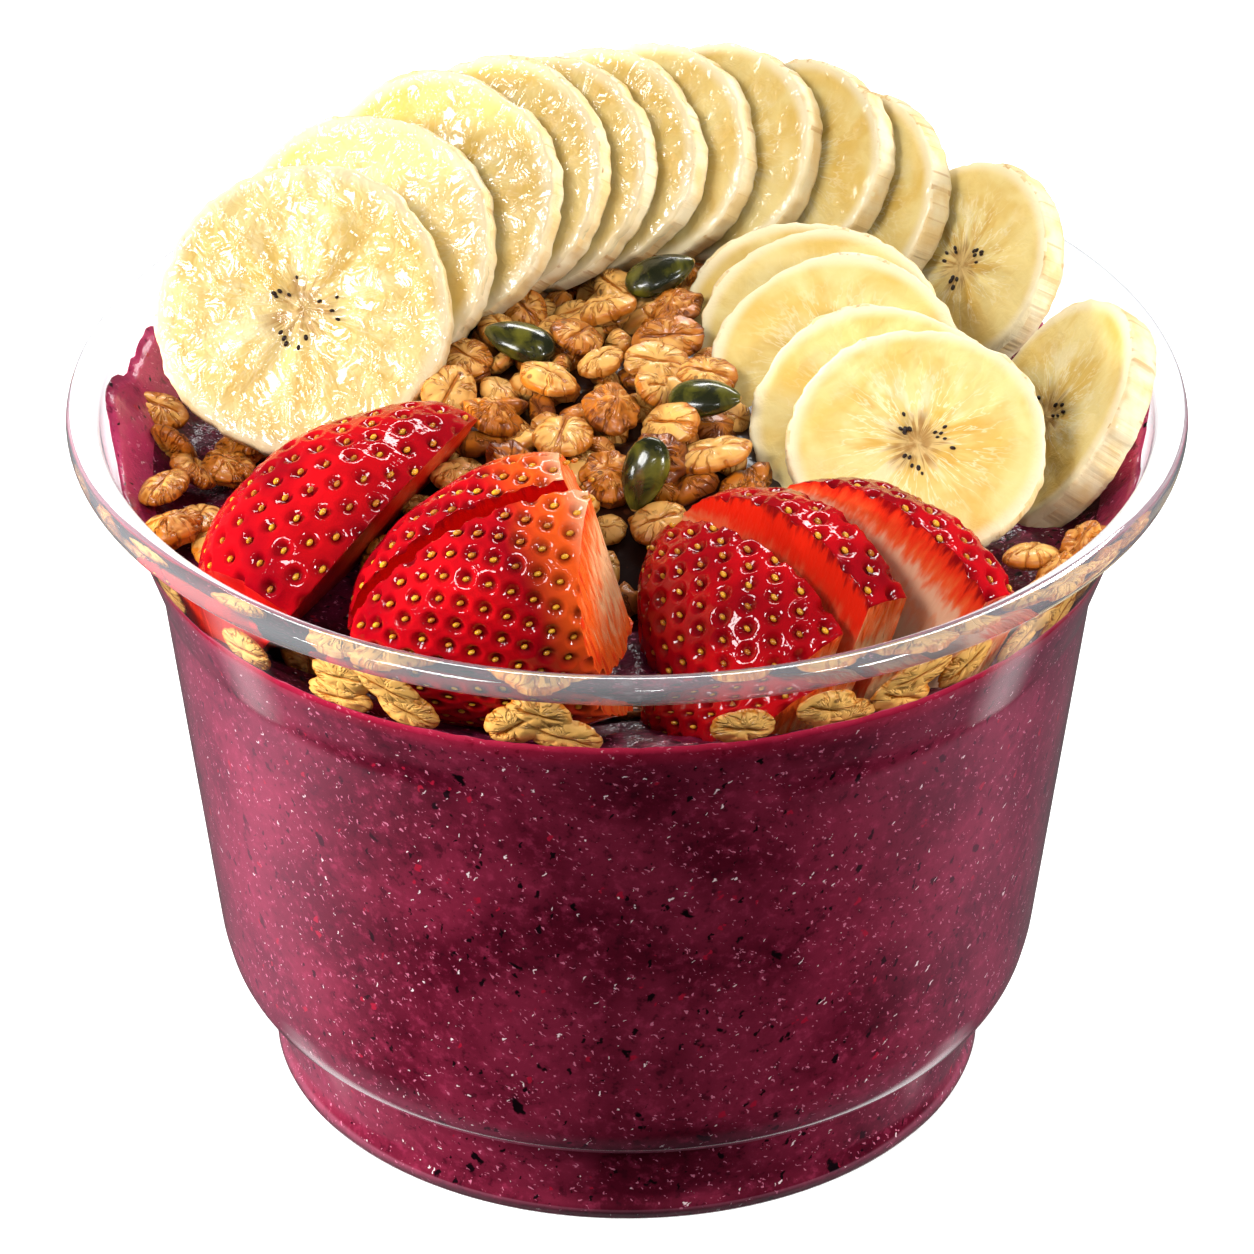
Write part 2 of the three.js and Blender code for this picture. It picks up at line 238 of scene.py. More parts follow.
def raise_surface(tree, height, depth_mm, strength=1.0, normal=None):
    """A Bump node over a height from 0 to 1 that stands depth_mm high."""
    inputs = {"Height": height, "Distance": depth_mm * MM, "Strength": strength}
    if normal is not None:
        inputs["Normal"] = normal
    return add_node(tree, "Bump", inputs).outputs["Normal"]


def dress(tree, shader, colour, height, depth_mm, strength, sockets=("Normal",)):
    """Gives a shader its colour, and its relief from a height."""
    tree.links.new(colour, shader.inputs["Base Color"])
    for socket in sockets:
        tree.links.new(raise_surface(tree, height, depth_mm, strength), shader.inputs[socket])


def mesh_from(bm, name):
    """Turns a bmesh into a mesh and lets the bmesh go."""
    mesh = bpy.data.meshes.new(name)
    bm.to_mesh(mesh)
    bm.free()
    return mesh


def new_object(name, data):
    item = bpy.data.objects.new(name, data)
    bpy.context.scene.collection.objects.link(item)
    return item


def make_piece(name, bm, materials, nodes):
    """Turns a bmesh into a piece that rides on the one body and stands for its CAD nodes."""
    mesh = mesh_from(bm, name)
    for material in materials:
        mesh.materials.append(material)
    mesh.polygons.foreach_set("use_smooth", [True] * len(mesh.polygons))
    piece = new_object(name, mesh)
    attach(piece, "root")
    if nodes:
        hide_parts(*nodes)
    return piece


def spin_outline(outline, steps):
    """Turns (radius, height) points in millimetres about Z into a closed mesh in metres."""
    bm = bmesh.new()
    verts = [bm.verts.new((radius * MM, 0, height * MM)) for radius, height in outline]
    for first, second in zip(verts, verts[1:]):
        bm.edges.new((first, second))
    bmesh.ops.spin(
        bm,
        geom=bm.verts[:] + bm.edges[:],
        axis=(0, 0, 1),
        cent=(0, 0, 0),
        dvec=(0, 0, 0),
        angle=FULL_TURN,
        steps=steps,
        use_merge=True,
    )
    bmesh.ops.remove_doubles(bm, verts=bm.verts, dist=0.002 * MM)
    bmesh.ops.recalc_face_normals(bm, faces=bm.faces)
    return bm


def round_corners(outline, radius, steps=4):
    """Eases each inner corner of an outline with a short curve."""
    eased = [Vector(outline[0])]
    for before, corner, after in zip(outline, outline[1:], outline[2:]):
        before, corner, after = Vector(before), Vector(corner), Vector(after)
        reach_in = min(radius, (before - corner).length * 0.45)
        reach_out = min(radius, (after - corner).length * 0.45)
        start = corner + (before - corner).normalized() * reach_in
        end = corner + (after - corner).normalized() * reach_out
        for step in range(steps + 1):
            t = step / steps
            eased.append(start.lerp(corner, t).lerp(corner.lerp(end, t), t))
    eased.append(Vector(outline[-1]))
    return [(point.x, point.y) for point in eased]


def copies_of(template, places):
    """Joins a copy of a small mesh at each place into one mesh."""
    bm = bmesh.new()
    for place in places:
        before = len(bm.verts)
        bm.from_mesh(template)
        bm.verts.ensure_lookup_table()
        for vert in bm.verts[before:]:
            vert.co = place @ vert.co
    return mesh_from(bm, template.name + "_copies")


def small_ball(name, segments, rings, shape, slot):
    """A ball mesh squeezed to a shape in millimetres, with one material slot."""
    bm = bmesh.new()
    bmesh.ops.create_uvsphere(bm, u_segments=segments, v_segments=rings, radius=MM)
    bmesh.ops.transform(bm, matrix=Matrix.Diagonal((*shape, 1)), verts=bm.verts)
    for face in bm.faces:
        face.material_index = slot
    return mesh_from(bm, name)


def wall_radius(height):
    """The cup's outer radius at a height above its ledge, in millimetres."""
    for (r0, z0), (r1, z1) in zip(CUP_WALL, CUP_WALL[1:]):
        if height <= z1:
            return r0 + (r1 - r0) * (height - z0) / (z1 - z0)
    return CUP_WALL[-1][0]


# The cup

def clear_pet():
    """Thermoformed PET sheet: clear and glossy, faintly grey where the eye meets it edge on,
    and a little milky and greyer in the rolled lip, partly where the sheet was stretched and
    folded and partly as a painted reflection that brightens the rim.
    Light on its way to the food passes straight through, as it does through a thin sheet."""
    material, tree, shader = new_material(
        "clear_pet", {"Roughness": 0.02, "IOR": 1.57, "Transmission Weight": 1.0}
    )
    edge_on = add_node(tree, "LayerWeight", {"Blend": 0.5}).outputs["Facing"]
    at = object_coordinates(tree)
    lip = ramp_between(tree, axis_of(tree, at, "Z"), 76 * MM, 78.5 * MM)
    # The lip is greyer and milky: partly the folded sheet, and partly a painted reflection that
    # brightens the rim.
    colour = blend_colours(tree, lip, 0xF6F8F8, 0xD8DCE0)
    colour = ramp_colours(tree, edge_on, 0.55, 0.95, colour, 0xAEB2B8)
    tree.links.new(colour, shader.inputs["Base Color"])
    milky = multiply(tree, lip, 0.24)
    clear = calculate(tree, "SUBTRACT", 1.0, milky)
    tree.links.new(clear, shader.inputs["Transmission Weight"])
    waves = grain(tree, at, 14, detail=1.0)
    tree.links.new(raise_surface(tree, waves, 0.25, 0.4), shader.inputs["Normal"])
    path = add_node(tree, "LightPath").outputs
    passing = calculate(tree, "MAXIMUM", path["Is Shadow Ray"], path["Is Diffuse Ray"])
    passing = calculate(tree, "MAXIMUM", passing, path["Is Glossy Ray"])
    through = add_node(tree, "BsdfTransparent")
    mixed = add_node(tree, "MixShader", {0: passing, 1: shader.outputs[0], 2: through.outputs[0]})
    tree.links.new(mixed.outputs[0], tree.nodes["Material Output"].inputs["Surface"])
    return material


def build_cup():
    foot = [(34.6, 0.0), (37.4, 0.0), (38.7, 1.2), (37.9, 3.2)]
    ledge = [(39.3, 10.5), (40.3, 10.75), (41.6, 11.55), (42.7, 12.8), (43.5, 14.4)]
    cone = [(44.2, 17.2), (49.6, 60.0)]
    flare = [(54.5, 74.2), (55.2, 75.6), (55.9, 78.0)]
    outside = foot + ledge + cone + flare
    under_lip = [(56.4, 79.3), (57.2, 79.6), (58.2, 79.2), (58.45, 78.4), (58.3, 77.85)]
    over_lip = [(58.85, 77.8), (RIM_RADIUS, 78.7), (58.6, 79.7)]
    over_lip += [(57.3, CUP_HEIGHT), (56.2, 79.95), (55.5, 79.0)]
    inside = [(radius - SHEET, height) for radius, height in reversed(outside[3:-1])]
    floor = [(36.0, 2.4), (0.0, 2.4)]
    outline = [(0.0, 1.7), (33.4, 1.7)]
    outline += outside + under_lip + over_lip + [(55.3, 77.8)] + inside + floor
    bm = spin_outline(round_corners(outline, CORNER_ROUNDING), 224)
    return make_piece("clear_cup", bm, [clear_pet()], ["cup"])


# The acai

def ragged_edges(tree, at, size_mm):
    """Small shifts that give specks ragged outlines."""
    noise_node = add_node(tree, "TexNoise", {"Vector": at, "Scale": 1 / (size_mm * MM)})
    noise_node.inputs["Detail"].default_value = 1.0
    shift = add_node(
        tree,
        "VectorMath",
        {0: noise_node.outputs["Color"], 1: (1.6 * size_mm * MM,) * 3},
        operation="MULTIPLY",
    )
    return add_node(tree, "VectorMath", {0: at, 1: shift.outputs[0]}, operation="ADD").outputs[0]


def speck_mask(tree, at, size_mm, share, stretch=1.0, turn=0.5):
    """Specks: one in each cell of a Voronoi pattern, shown in a share of the cells."""
    drawn_out = add_node(
        tree,
        "Mapping",
        {"Vector": at, "Rotation": (0.3, turn, 0.2), "Scale": (stretch, 1, 1)},
        vector_type="TEXTURE",
    ).outputs[0]
    cells = add_node(
        tree, "TexVoronoi", {"Vector": drawn_out, "Scale": 1 / (size_mm * MM), "Randomness": 1.0}
    )
    chosen = add_node(tree, "SeparateColor", {"Color": cells.outputs["Color"]})
    size = calculate(tree, "MULTIPLY_ADD", chosen.outputs["Green"], 0.75, 0.35)
    away = calculate(tree, "DIVIDE", cells.outputs["Distance"], size)
    near = ramp_between(tree, away, 0.36, 0.22)
    kept = calculate(tree, "LESS_THAN", chosen.outputs["Red"], share)
    return multiply(tree, near, kept)


def acai_colours(tree, at, pale, deep):
    """Mottled puree with short pale fibres, tiny painted white glints, red pulp and black bits of
    skin.
    """
    broad = grain(tree, at, 7)
    fine = grain(tree, at, 0.9, detail=3, roughness=0.7)
    colour = ramp_colours(tree, broad, 0.35, 0.68, pale, deep)
    colour = ramp_colours(tree, fine, 0.5, 0.72, colour, 0xA03050, 0.6)
    colour = ramp_colours(tree, fine, 0.45, 0.3, colour, 0x340816, 0.7)
    ragged = ragged_edges(tree, at, 0.7)
    for size_mm, share, stretch, turn, tint in (
        (0.38, 0.36, 3.2, 0.8, 0xD27490),
        # painted glints: tiny near-white specks that stand in for highlights
        (0.44, 0.05, 3.4, 2.3, 0xFBE2E6),
        (1.2, 0.09, 1.6, 2.0, 0xA81834),
        (1.9, 0.11, 2.0, 0.9, 0x10050A),
        (1.0, 0.26, 2.4, 1.9, 0x16060D),
    ):
        specks = speck_mask(tree, ragged, size_mm, share, stretch, turn)
        colour = blend_colours(tree, specks, colour, tint)
    return colour, fine


def frozen_acai():
    """Blended frozen acai pressed to the wall: a thick maroon puree with no air between.
    The wet contact leaves almost no glint of its own, and a painted pale pink sheen where it
    is seen edge on lightens it towards the sides. The sheet bends the view, so even there
    it is seen steeply."""
    material, tree, shader = new_material(
        "frozen_acai", {"Roughness": 0.5, "IOR": 1.36, "Specular IOR Level": 0.1}
    )
    at = object_coordinates(tree)
    colour, fine = acai_colours(tree, at, 0x7E2039, 0x540C20)
    # Painted light: crimson where the puree thins at its level and up the smears, for light shining
    # through the thin edge.
    colour = blend_colours(tree, point_value(tree, "thin"), colour, 0xC01C40, 0.75)
    edge_on = add_node(tree, "LayerWeight", {"Blend": 0.5}).outputs["Facing"]
    # Painted sheen: pale pink mixed in where the wall is seen edge on, lighter towards the sides.
    colour = ramp_colours(tree, edge_on, 0.135, 0.225, colour, 0xCC8098, 0.24)
    dress(tree, shader, colour, fine, 0.12, 0.4)
    return material


def wet_acai():
    """The melting top of the acai: darker, with a film of syrup that shines."""
    material, tree, shader = new_material(
        "wet_acai",
        {
            "Roughness": 0.55,
            "IOR": 1.36,
            "Specular IOR Level": 0.2,
            "Coat Weight": 0.4,
            "Coat Roughness": 0.05,
        },
    )
    at = object_coordinates(tree)
    colour, fine = acai_colours(tree, at, 0x6A1234, 0x3A0816)
    lumps = grain(tree, at, 2.6, detail=4)
    height = calculate(tree, "MULTIPLY_ADD", fine, 0.15, lumps)
    dress(tree, shader, colour, height, 1.4, 0.8, ("Normal", "Coat Normal"))
    return material


def smeared_acai():
    """Acai wiped up the wall: a thin film, so more crimson and pink where light comes in."""
    material, tree, shader = new_material(
        "smeared_acai", {"Roughness": 0.3, "IOR": 1.36, "Coat Weight": 0.3, "Coat Roughness": 0.1}
    )
    at = object_coordinates(tree)
    colour, fine = acai_colours(tree, at, 0xC23A66, 0x7A1436)
    dress(tree, shader, colour, fine, 0.3, 0.6)
    return material


def smear_height(angle):
    """How far the acai is smeared up the wall at an angle in degrees from +X."""
    height = 0.0
    for centre, half, top in SMEARS:
        away = abs((angle - centre + 540) % 360 - 180) / half
        if away < 1:
            height = max(height, top * math.cos(away * math.pi / 2) ** 0.7)
    return height


def build_acai():
    reach = SHEET - 0.2
    foot = [(33.2, 2.3), (34.9, 0.7), (37.3, 0.6), (38.5, 1.5), (37.9, 3.2)]
    wall = [(39.2, 10.4), (40.3, 10.8), (41.6, 11.6), (42.7, 12.9), (43.5, 14.5), (44.2, 17.2)]
    wall += [(49.6, 60.0)]
    edge = wall_radius(ACAI_LEVEL) - reach
    outline = [(0.0, 2.3)] + [(radius - 0.3, height) for radius, height in foot]
    outline += [(radius - reach, height) for radius, height in wall]
    outline = round_corners(outline, CORNER_ROUNDING)
    outline += [(wall_radius(z) - reach, z) for z in (63, 66, 67.4, ACAI_LEVEL)]
    outline += [(edge - inward, ACAI_LEVEL) for inward in np.linspace(0.5, edge, 60)]
    bm = spin_outline(outline, 320)
    thin = bm.verts.layers.float.new("thin")
    for vert in bm.verts:
        x, y, z = vert.co / MM
        radius = math.hypot(x, y)
        if z < SMEAR_FROM:
            continue
        vert[thin] = min(1.0, (z - SMEAR_FROM) / 1.6) if radius > edge - 0.6 else 0.0
        angle = math.degrees(math.atan2(y, x)) % 360
        ragged = 1 + 0.3 * noise.noise(Vector((x, y, 0)) * 0.12)
        ragged += 0.08 * noise.noise(Vector((x, y, 5)) * 0.5)
        climb = smear_height(angle) * ragged
        inward = max(0.0, edge - radius)
        if inward < 0.2:
            share = (z - SMEAR_FROM) / (ACAI_LEVEL - SMEAR_FROM)
            raised = z + climb * share + 0.25 * noise.noise(Vector((x, y, 3)) * 0.5) * share
            out = wall_radius(raised) - reach
        else:
            share = math.exp(-((inward / 2.2) ** 1.3))
            lumps = noise.noise(Vector((x, y, 7)) * 0.2) * 1.2
            lumps += noise.noise(Vector((x, y, 9)) * 0.6) * 0.5
            raised = z + climb * share + lumps * (1 - share) - 0.1
            out = radius + (wall_radius(raised) - wall_radius(z)) * share
        vert.co = Vector((x * out / max(radius, 1e-6), y * out / max(radius, 1e-6), raised)) * MM
    for face in bm.faces:
        centre = face.calc_center_median() / MM
        inward = wall_radius(centre.z) - math.hypot(centre.x, centre.y)
        if centre.z > 69.5 and inward < 3:
            face.material_index = 2
        elif centre.z > 66 and inward > 0.75:
            face.material_index = 1
    finishes = [frozen_acai(), wet_acai(), smeared_acai()]
    return make_piece("acai_puree", bm, finishes, ["acai"])


# Banana slices

def slice_place(node):
    """Centre of the upper face, radius, thickness and turn of a slice, from its solid."""
    points = node_points(node)
    centre = points.mean(axis=0)
    axes = np.linalg.svd(points - centre, full_matrices=False)[2]
    normal = Vector(axes[2])
    if normal.z < 0:
        normal = -normal
    along = (points - centre) @ np.array(normal)
    across = np.linalg.norm(points - centre - along[:, None] * np.array(normal), axis=1)
    thickness = along.max() - along.min()
    side = Vector((0, 0, 1)).cross(normal).normalized()
    up = normal.cross(side)
    turn = Matrix((side, up, normal)).transposed().to_4x4()
    face = Vector(centre) + normal * along.max()
    return Matrix.Translation(face) @ turn, across.max() / MM, thickness / MM


def node_points(node):
    """A CAD node's vertices as rows of metres."""
    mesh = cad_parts[node].data
    points = np.empty(len(mesh.vertices) * 3)
    mesh.vertices.foreach_get("co", points)
    return points.reshape(-1, 3)


def polar_noise(tree, around, reach, apart, turns, rise):
    """Noise in rays from the middle of a slice or flake, different on each of them."""
    spread = add_node(tree, "VectorMath", {0: around, "Scale": turns}, operation="SCALE").outputs[0]
    out = add_node(tree, "CombineXYZ", {"Z": multiply(tree, reach, rise)})
    for offset in (out.outputs[0], apart):
        spread = add_node(tree, "VectorMath", {0: spread, 1: offset}, operation="ADD").outputs[0]
    return noise_at(tree, spread, Roughness=0.6)


def banana_flesh(name, wetness):
    """Cut banana: pale starchy flesh with radial streaks, and a glaze where it is wet."""
    material, tree, shader = new_material(
        name,
        {
            "Roughness": 0.5 - 0.15 * wetness,
            "IOR": 1.38,
            "Coat Weight": 0.15 + 0.85 * wetness,
            "Coat IOR": 1.55,
            "Coat Roughness": 0.12 - 0.08 * wetness,
        },
    )
    on_face = surface_map(tree, "face")
    at = object_coordinates(tree)
    reach, around = reach_and_way(tree, on_face)
    apart = add_node(tree, "VectorMath", {0: at, "Scale": 60.0}, operation="SCALE").outputs[0]
    rays = polar_noise(tree, around, reach, apart, 2.2, 1.4)
    fibres = polar_noise(tree, around, reach, apart, 4.6, 2.4)
    mottle = grain(tree, at, 4.0, detail=3, distortion=0.6)
    colour = ramp_colours(tree, mottle, 0.35, 0.68, 0xF4DC92, 0xE8C062)
    inside = ramp_between(tree, reach, 0.9, 0.3)
    for tint, low, high in ((0xD8A232, 0.5, 0.66), (0xFCEABA, 0.47, 0.36)):
        streaks = multiply(tree, ramp_between(tree, rays, low, high), inside)
        colour = blend_colours(tree, streaks, colour, tint, 0.7)
    level = calculate(tree, "ABSOLUTE", calculate(tree, "SUBTRACT", fibres, 0.5))
    threads = multiply(tree, ramp_between(tree, level, 0.03, 0.0), inside)
    colour = blend_colours(tree, threads, colour, 0xFFF0C4, 0.7)
    wobble = multiply(tree, rays, 0.35)
    middle = ramp_between(tree, calculate(tree, "ADD", reach, wobble), 0.46, 0.3)
    core = ramp_colours(tree, fibres, 0.44, 0.56, 0xE6C680, 0xA87430)
    colour = blend_colours(tree, middle, colour, core, 0.9)
    spongy = ramp_colours(tree, grain(tree, at, 0.9), 0.4, 0.6, 0xDDBA78, 0xAE8040)
    colour = ramp_colours(tree, reach, 0.17, 0.07, colour, spongy, 0.85)
    colour = ramp_colours(tree, reach, 0.84, 0.95, colour, 0xFBEABF)
    colour = blend_colours(tree, 0.22 * wetness, colour, 0xC8A040)
    pulp = grain(tree, at, 1.1, detail=3, roughness=0.6, distortion=0.5)
    height = calculate(tree, "MULTIPLY_ADD", rays, 0.8, pulp)
    dress(tree, shader, colour, height, 0.35, 0.5)
    crinkle = grain(tree, at, 1.8, detail=2, roughness=0.5, distortion=1.4)
    glaze = raise_surface(tree, crinkle, 0.15 + 0.5 * wetness, 1.0)
    tree.links.new(glaze, shader.inputs["Coat Normal"])
    return material


def banana_side():
    """The peeled side of a slice: creamy and slightly stringy, with thin tan threads."""
    material, tree, shader = new_material(
        "banana_side", {"Roughness": 0.45, "IOR": 1.38, "Coat Weight": 0.3, "Coat Roughness": 0.15}
    )
    at = object_coordinates(tree)
    threads = noise_at(tree, surface_map(tree, "face"), 14.0)
    mottle = grain(tree, at, 2.2, detail=4)
    colour = ramp_colours(tree, mottle, 0.34, 0.66, 0xFAEAC4, 0xF0D094)
    colour = ramp_colours(tree, threads, 0.58, 0.68, colour, 0xC48E44, 0.55)
    spots = speck_mask(tree, at, 2.4, 0.06, 1.6)
    colour = blend_colours(tree, spots, colour, 0x9A6A2C, 0.8)
    height = calculate(tree, "ADD", threads, mottle)
    dress(tree, shader, colour, height, 0.4, 0.6)
    return material


def banana_seed():
    """The tiny undeveloped seeds round a banana's core."""
    return new_material(
        "banana_seed", {"Base Color": linear(0x24120C), "Roughness": 0.4, "IOR": 1.45}
    )[0]


def shape_slice(bm, radius, seed):
    """Gives a spun disc its ridges, bumpy rim, and lobes between the creases of its face."""
    for vert in bm.verts:
        x, y, z = vert.co / MM
        reach = math.hypot(x, y) / radius
        if reach < 1e-4:
            vert.co.z -= 0.25 * MM if z > -1 else 0
            continue
        angle = math.atan2(y, x)
        around = Vector((math.cos(angle), math.sin(angle), seed * 1.7))
        ridge = 0.012 * math.cos(5 * angle + seed) + 0.008 * math.cos(3 * angle + 2 * seed)
        ridge += 0.024 * noise.noise(around * 1.5) + 0.022 * noise.noise(around * 8) - 0.02
        ridge += 0.012 * noise.noise(around * 20)
        out = 1 + ridge * reach ** 4
        lift = 0.0
        if z > -1 and reach < 0.97:
            crease = noise.noise(around * 2.6 + Vector((0, 0, reach * 0.8)))
            lift = 0.35 * crease * min(1, reach * 3) * (1 - reach ** 4)
            lift -= 0.35 * math.exp(-((reach / 0.3) ** 2))
            lift += 0.12 * noise.noise(Vector((x, y, seed * 3.1)) * 0.5) - 0.1
        vert.co = Vector((x * out, y * out, z + lift)) * MM


def banana_seed_places(radius, seed):
    """Three groups of dark specks round the core, pressed into the face."""
    draw = random.Random(seed)
    start = draw.random() * 2
    places = []
    for group in range(3):
        for _ in range(draw.choice((4, 5, 5, 6))):
            angle = start + group * FULL_TURN / 3 + draw.uniform(-0.5, 0.5)
            reach = radius * draw.uniform(0.12, 0.27)
            size = draw.uniform(0.17, 0.27)
            place = Vector((reach * math.cos(angle), reach * math.sin(angle), -0.22)) * MM
            turn = Matrix.Rotation(angle, 4, "Z") @ Matrix.Diagonal((size, size, size, 1))
            places.append(Matrix.Translation(place) @ turn)
    return places


def build_slice(node, seed, materials, template):
    place, radius, thickness = slice_place(node)
    r = radius - 0.15
    top = [(r * share, 0.0) for share in np.linspace(0, 0.93, 22)]
    rim = [(r - 0.55, -0.04), (r - 0.25, -0.2), (r - 0.05, -0.5)]
    below = [(r, -1.2), (r, 1.2 - thickness), (r - 0.3, 0.3 - thickness), (r - 1, -thickness)]
    bm = spin_outline(top + rim + below + [(0.0, -thickness)], 144)
    shape_slice(bm, r, seed)
    for face in bm.faces:
        centre = face.calc_center_median() / MM
        on_side = math.hypot(centre.x, centre.y) > r - 0.45 or centre.z < -1.5
        face.material_index = 1 if on_side else 0
    bm.from_mesh(copies_of(template, banana_seed_places(r, seed)))
    face_map = bm.loops.layers.uv.new("face")
    for face in bm.faces:
        for loop in face.loops:
            loop[face_map].uv = loop.vert.co.xy / (r * MM)
    bmesh.ops.transform(bm, matrix=place, verts=bm.verts)
    return make_piece(node + "_fruit", bm, materials, [node])


def build_bananas():
    side = banana_side()
    specks = banana_seed()
    glazed = banana_flesh("glazed_banana", 1.0)
    moist = banana_flesh("moist_banana", 0.45)
    matt = banana_flesh("fresh_banana", 0.08)
    template = small_ball("banana_speck", 8, 6, (1.35, 0.9, 0.8), 2)
    for index in range(1, ARC_SLICES + 1):
        flesh = glazed if index <= GLAZED_UP_TO else moist if index <= MOIST_UP_TO else matt
        build_slice(f"banana_arc_{index:02d}", index, [flesh, side, specks], template)
    for index in range(1, FAN_SLICES + 1):
        build_slice(f"banana_fan_{index:02d}", 20 + index, [matt, side, specks], template)


# Strawberries

def berry_radius(share):
    """A whole berry's radius as a share of its half width, by share of its length."""
    share = min(max(share, 0.0), 1.0)
    return share**BERRY_TIP_POWER * (1 - share) ** BERRY_CROWN_POWER / BERRY_WIDEST


def berry_skin(name, orange_from, orange_to):
    """Ripe strawberry skin: thin and glossy, deep red, with shade painted dark into the pits round
    the nutlets.
    Towards the crown a less ripe berry turns orange and then pale."""
    material, tree, shader = new_material(
        name,
        {
            "Roughness": 0.35,
            "IOR": 1.4,
            "Specular IOR Level": 0.0,
            "Coat Weight": 0.9,
            "Coat Roughness": 0.035,
        },
    )
    at = object_coordinates(tree)
    share = axis_of(tree, surface_map(tree, "along"), "X")
    patches = grain(tree, at, 6, detail=4)
    colour = ramp_colours(tree, patches, 0.3, 0.66, 0xCC0C16, 0x8E0412)
    ragged = calculate(tree, "MULTIPLY_ADD", patches, 0.16, share)
    colour = ramp_colours(tree, ragged, orange_from, orange_to, colour, 0xF0591C)
    pale = ramp_between(tree, ragged, orange_to, orange_to + 0.12)
    colour = blend_colours(tree, pale, colour, 0xF7C69A)
    # Painted shade: the pits round the nutlets are darkened, except where the skin is pale.
    dark = multiply(tree, point_value(tree, "pit"), calculate(tree, "SUBTRACT", 1.0, pale))
    colour = blend_colours(tree, dark, colour, 0x4A0208, 0.7)
    fine = grain(tree, at, 1.0, detail=3, roughness=0.6)
    dress(tree, shader, colour, fine, 0.12, 0.5)
    tree.links.new(raise_surface(tree, fine, 0.2, 0.5), shader.inputs["Coat Normal"])
    return material


def berry_flesh(name, core_colour, heart_colour, rind_colour, wide):
    """Cut strawberry: wet flesh, red under the skin and lighter at the core, with fibres."""
    material, tree, shader = new_material(
        name,
        {
            "Roughness": 0.4,
            "IOR": 1.38,
            "Specular IOR Level": 0.3,
            "Coat Weight": 0.3,
            "Coat Roughness": 0.12,
        },
    )
    parts = add_node(tree, "SeparateXYZ", {0: surface_map(tree, "along")})
    share, across = parts.outputs["X"], parts.outputs["Y"]
    rise = calculate(tree, "POWER", share, BERRY_TIP_POWER)
    fall = calculate(tree, "POWER", calculate(tree, "SUBTRACT", 1.0, share), BERRY_CROWN_POWER)
    radius = calculate(tree, "DIVIDE", multiply(tree, rise, fall), BERRY_WIDEST)
    depth = calculate(tree, "DIVIDE", calculate(tree, "ABSOLUTE", across), radius)
    stretched = add_node(
        tree, "CombineXYZ", {"X": multiply(tree, share, 40.0), "Y": multiply(tree, depth, 3)}
    )
    fibres = noise_at(tree, stretched.outputs[0])
    ragged = multiply(tree, calculate(tree, "SUBTRACT", fibres, 0.5), 0.5)
    depth = calculate(tree, "ADD", depth, ragged)
    colour = ramp_colours(tree, depth, 0.05, 0.25 + wide, heart_colour, core_colour)
    ring = multiply(
        tree, ramp_between(tree, depth, 0.3, 0.45), ramp_between(tree, depth, 0.72, 0.55)
    )
    ring = multiply(tree, ring, 2.4 * wide)
    colour = blend_colours(tree, ring, colour, heart_colour)
    colour = ramp_colours(tree, depth, 0.2 + wide, 0.6 + wide, colour, rind_colour)
    colour = ramp_colours(tree, depth, 0.85, 1.02, colour, 0x9C0810)
    pulp = grain(tree, object_coordinates(tree), 0.9, detail=3)
    height = calculate(tree, "MULTIPLY_ADD", pulp, 0.6, fibres)
    dress(tree, shader, colour, height, 0.35, 0.6)
    return material


def berry_core():
    """The face where the crown was cut off: pale fibrous flesh inside an orange edge."""
    material, tree, shader = new_material(
        "berry_core", {"Roughness": 0.4, "IOR": 1.38, "Coat Weight": 0.25, "Coat Roughness": 0.2}
    )
    across = surface_map(tree, "across")
    reach = add_node(tree, "VectorMath", {0: across}, operation="LENGTH").outputs["Value"]
    pulled = add_node(tree, "Mapping", {"Vector": across, "Scale": (3, 16, 1)}).outputs[0]
    fibres = noise_at(tree, pulled, detail=4.0, Distortion=0.6)
    edge = calculate(tree, "MULTIPLY_ADD", fibres, 1.6, reach)
    colour = ramp_colours(tree, edge, 0.95, 1.6, 0xFFC08A, 0xFF6622)
    colour = ramp_colours(tree, edge, 1.6, 1.95, colour, 0xF03A12)
    dress(tree, shader, colour, fibres, 1.2, 0.9)
    return material


def achene():
    """Strawberry seeds: small hard golden nutlets."""
    material, tree, shader = new_material(
        "achene", {"Roughness": 0.3, "IOR": 1.45, "Coat Weight": 0.5, "Coat Roughness": 0.1}
    )
    mottle = grain(tree, object_coordinates(tree), 2.5)
    colour = ramp_colours(tree, mottle, 0.35, 0.65, 0xF0B02A, 0xB86A1C)
    tree.links.new(colour, shader.inputs["Base Color"])
    return material


def achene_places(length, width):
    """Spots for the seeds on a whole berry, in a spiral that is closest near the tip."""
    shares = np.linspace(0.002, 0.998, 400)
    weights = np.cumsum([berry_radius(share) ** 0.8 for share in shares])
    places = []
    for index in range(SEEDS_ON_A_BERRY):
        passed = (index + 0.5) / SEEDS_ON_A_BERRY * weights[-1]
        share = float(np.interp(passed, weights, shares))
        angle = index * SEED_SPIRAL
        radius = berry_radius(share) * width / 2
        places.append(Vector((share * length, radius * math.cos(angle), radius * math.sin(angle))))
    return places


def berry_matrix(tip, axis, face):
    """Places a berry whose tip is the origin, crown is along X and cut face across Z."""
    along = Vector(axis).normalized()
    across = Vector(face).cross(along).normalized()
    normal = along.cross(across)
    turn = Matrix((along, across, normal)).transposed().to_4x4()
    return Matrix.Translation(Vector(tip) * MM) @ turn


